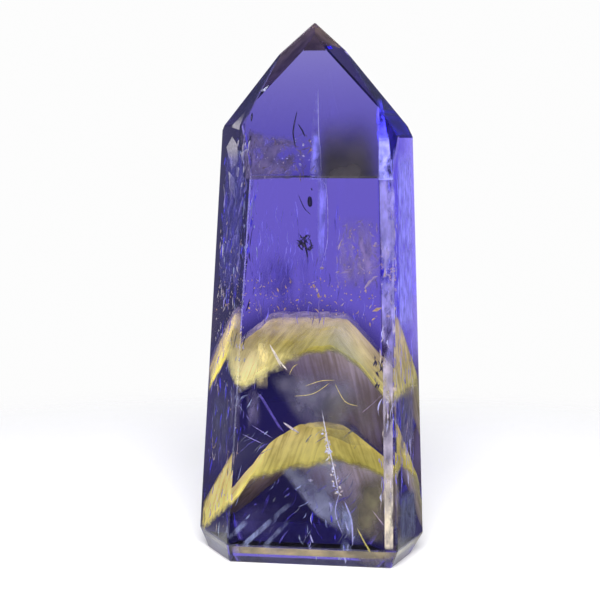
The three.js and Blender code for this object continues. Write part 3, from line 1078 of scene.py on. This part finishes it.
def make_cracks(patches, chance):
    """Crisp cracks and needles."""
    needle(patches, FRONT_TIP, ((1.1, 69.3, 4), (1.8, 62.7, 4), (2.3, 60.1, 4), (2.7, 56.8, 4)), 0.07, MILK)
    middle_crack = ((2.8, 56.6, 4), (3.6, 55.1, 4), (3.8, 49.0, 4), (3.5, 46.4, 4), (2.7, 43.2, 4))
    needle(patches, FRONT, middle_crack, 0.06, LILAC)
    needle(patches, FRONT_TIP, ((3.0, 59.8, 2), (4.7, 58.9, 2), (6.5, 57.2, 2)), 0.05, BEIGE)
    for route, radius, tone in (
        (((-4.4, 32.8, 0.9), (-2.6, 29.3, 0.9)), 0.16, IVORY),
        (((-3.8, 32.0, 0.7), (-2.8, 30.2, 0.7), (-1.7, 29.0, 0.7)), 0.12, IVORY),
        (((-0.4, 29.8, 3), (-1.2, 29.2, 3), (-1.7, 28.1, 3)), 0.05, CREAM),
        (((0.6, 26.5, 3), (2.9, 27.3, 3.4), (5.1, 27.5, 3)), 0.05, CREAM),
        (((-1.0, 25.0, 3), (1.8, 25.4, 3.4), (4.3, 27.1, 3)), 0.05, CREAM),
        (((5.0, 27.1, 3), (6.5, 24.4, 3.3), (8.5, 23.8, 3)), 0.05, CREAM),
        (((9.0, 22.8, 3), (10.6, 24.2, 3.2), (12.4, 26.0, 3)), 0.05, BEIGE),
        (((8.5, 6.0, 2), (9.9, 3.6, 1.4), (11.3, 1.8, 1)), 0.12, PALE_YELLOW),
        (((10.7, 8.7, 2), (12.6, 6.3, 2)), 0.07, BEIGE),
        (((-2.6, 21.1, 3), (-1.4, 20.3, 3), (-0.2, 19.6, 3)), 0.18, IVORY),
        (((-4.0, 18.6, 3), (-7.4, 20.6, 3)), 0.05, LILAC),
        (((-5.6, 17.8, 3), (-8.8, 19.2, 3)), 0.05, LILAC),
        (((6.5, 9.8, 3), (7.6, 6.8, 3), (7.8, 3.1, 3)), 0.14, MILK),
        (((5.9, 11.2, 3), (5.2, 8.0, 3), (6.4, 4.6, 3)), 0.08, MILK),
    ):
        needle(patches, FRONT, route, radius, tone)
    bar = ((-6.5, 25.4, 3), (-5.7, 24.8, 3), (-2.5, 19.7, 3), (-3.3, 20.3, 3))
    plate(patches, FRONT, bar, (0.14, 0.11, 0.42))
    # pale loops low under the left face
    needle(patches, LEFT, ((-5.0, 17.6, 1), (-4.4, 15.8, 1), (-3.4, 16.4, 1), (-3.0, 17.4, 1)), 0.1, GOLD)
    needle(patches, LEFT, ((-4.8, 15.4, 1), (-3.8, 14.0, 1), (-3.2, 15.2, 1)), 0.09, IVORY)
    # a beaded white crack in front of the lower phantom, with a small glint beside it
    needle(patches, FRONT, ((3.3, 23.4, 1), (4.2, 18.8, 1), (5.2, 14.4, 1), (5.9, 10.8, 1)), 0.1, WHITE)
    for _ in range(65):
        share = chance.random()
        place = under(FRONT, 3.6 + 2.3 * share + chance.uniform(-0.5, 0.5), 20.4 - 9.6 * share, 1.0)
        speck(patches, place, chance.uniform(0.1, 0.42), chance.choice((WHITE, IVORY, BEIGE, MILK)), chance)
    speck(patches, under(FRONT, 1.4, 12.5, 4), 0.7, WHITE, chance)


def make_dark_marks(patches, chance):
    """Dark slits in the tip, a lens and a feathery clump in the middle, and flecks at the right."""
    for route, radius in (
        (((-1.7, 65.9, 4), (-2.0, 62.7, 4), (-1.3, 60.2, 4)), 0.12),
        (((-1.4, 63.9, 4), (-0.6, 62.8, 4), (-0.2, 62.0, 4)), 0.12),
        (((-8.2, 66.0, 2), (-8.2, 64.6, 2)), 0.15),
    ):
        needle(patches, FRONT_TIP, route, radius, NAVY)
    needle(patches, FRONT, ((1.1, 54.2, 4), (1.1, 53.4, 4), (1.2, 52.6, 4)), 0.4, NAVY)
    needle(patches, FRONT, ((-0.6, 54.5, 4), (0.3, 52.5, 4), (1.3, 51.5, 4)), 0.07, NAVY)
    needle(patches, FRONT, ((0.2, 48.4, 4), (0.5, 46.9, 4), (0.9, 45.2, 4)), 0.16, NAVY)
    speck(patches, under(FRONT, 1.4, 55.2, 4), 0.25, NAVY, chance)
    for row in (
        (FRONT, (-0.5, 46.4, 3.6), (1.3, 48.4, 4.4), 34, (0.4, 1.3), (0.1, 0.26), (-80, 80),
         (NAVY, NAVY, TAUPE)),
        (FRONT, (10.9, 26.9, 0.8), (12.3, 31.2, 1.6), 16, (0.5, 1.3), (0.12, 0.3), (-30, 30),
         (NAVY, (0.03, 0.015, 0.06))),
    ):
        wisps(patches, chance, *row)


def make_specks(patches, chance):
    """Painted glints as white specks, gold flakes and ochre flecks, and a bright blue spot of painted
    highlight near the tip.
    """
    # painted glints: white and milky specks in the tip, among ochre and beige ones
    for along, height, size, tone in (
        (-0.3, 60.8, 0.45, WHITE), (-0.1, 59.2, 0.3, WHITE), (-4.9, 61.7, 0.25, IVORY),
        (-7.2, 60.5, 0.3, MILK), (-0.5, 58.0, 0.35, MILK), (0.9, 60.1, 0.35, OCHRE), (1.8, 57.0, 0.3, BEIGE),
    ):
        speck(patches, under(FRONT_TIP, along, height, 4), size, tone, chance)
    for along, height, size, tone in (
        (-6.8, 39.7, 0.35, IVORY), (-3.5, 40.5, 0.4, OCHRE), (-2.3, 40.9, 0.3, OCHRE),
        (2.5, 39.8, 0.5, GOLD), (1.9, 41.1, 0.3, OCHRE), (2.8, 42.2, 0.3, OCHRE), (-0.6, 39.1, 0.3, OCHRE),
        (10.7, 47.1, 0.4, GOLD), (6.3, 44.3, 0.3, BEIGE), (10.0, 39.5, 0.3, OCHRE), (11.1, 37.9, 0.8, GOLD),
        (10.6, 36.5, 0.4, GOLD), (10.1, 35.7, 0.4, OCHRE), (3.0, 43.8, 0.7, BEIGE), (12.9, 37.2, 0.5, OCHRE),
    ):
        speck(patches, under(FRONT, along, height, 3.5 if along < 12 else 1.0), size, tone, chance)
    wisps(patches, chance, FRONT, (-9, 37, 1), (11, 42, 5), 24, (0.3, 0.9), (0.06, 0.2), (-80, 80),
          (OCHRE, BEIGE))
    for row in (
        (FRONT, (-9, 36.5, 1), (11, 42, 5), 120, (0.06, 0.24), (OCHRE, BEIGE, GOLD)),
        (FRONT, (6, 42.5, 2), (11, 50.5, 5), 40, (0.06, 0.24), (BEIGE, BEIGE, OCHRE)),
        (FRONT, (11.8, 40, 0.5), (13.6, 47, 1.5), 40, (0.08, 0.3), (OCHRE, GOLD, BEIGE)),
        (LEFT, (-6.5, 32, 0.6), (3.3, 48, 2), 150, (0.08, 0.34), (OCHRE, BEIGE, ASH)),
    ):
        scatter(patches, chance, *row)
    wisps(patches, chance, LEFT, (-6.5, 32, 0.6), (3.3, 50, 2), 40, (0.4, 1.4), (0.1, 0.35), (-50, 50),
          (BEIGE, ASH))
    for row in (
        (FRONT_TIP, (-8, 56.5, 1.5), (1, 62, 4.5), 45, (0.05, 0.22), (LILAC, MILK, BEIGE)),
        (LEFT, (-6.5, 4, 0.6), (3.2, 60, 2.5), 90, (0.08, 0.3), (ASH, OCHRE, MIST_BLUE, BEIGE)),
    ):
        scatter(patches, chance, *row)
    # painted highlight: a bright blue spot near the tip
    speck(patches, under(BACK_RIGHT_TIP, 0.9, 75.6, 0.9), 0.5, (0.05, 0.03, 1.4), chance)


def make_highlight_plates(patches):
    """Pale angular plates under the left faces: painted highlights."""
    for spots in (
        ((-6.0, 61.2, 1.0), (-3.4, 57.8, 1.2), (-0.6, 59.2, 1.0), (-1.2, 61.6, 0.8), (-3.6, 62.8, 0.8)),
        ((-4.4, 57.6, 0.9), (-3.6, 55.0, 1.0), (-1.2, 53.6, 1.1), (-1.6, 56.6, 0.9)),
        ((0.4, 60.4, 0.9), (1.4, 58.8, 1.0), (2.2, 60.8, 0.9)),
        ((-1.3, 57.0, 1.0), (-0.3, 56.8, 1.2), (0.2, 58.2, 1.0), (-0.8, 58.4, 0.8)),
        ((-3.4, 56.2, 1.0), (-2.2, 55.6, 1.2), (-1.8, 56.8, 1.0)),
    ):
        plate(patches, LEFT, spots, ASH)
    plate(patches, LEFT_TIP, ((-4.0, 64.2, 0.8), (-0.6, 63.8, 1.0), (-1.8, 66.2, 0.8)), ASH)
    plate(patches, LEFT_TIP, ((-1.6, 69.2, 0.6), (-0.6, 69.4, 0.8), (-0.2, 70.4, 0.6)), MILK)


def make_flakes():
    """Crisp small things, all in one piece."""
    patches = Patchwork()
    chance = random.Random(7)
    make_cracks(patches, chance)
    make_dark_marks(patches, chance)
    make_specks(patches, chance)
    make_highlight_plates(patches)
    patches.finish("flakes", flake_and_glow_material(), smooth=False)


def set_render():
    scene = bpy.context.scene
    scene.view_settings.view_transform = "Standard"
    scene.cycles.max_bounces = 24
    scene.cycles.transmission_bounces = 24
    scene.cycles.transparent_max_bounces = 48


make_camera()
make_world()
make_lamp()
make_floor()
make_crystal()
make_phantoms()
make_hazes()
make_clouds()
make_veils()
make_streaks()
make_flakes()
set_render()
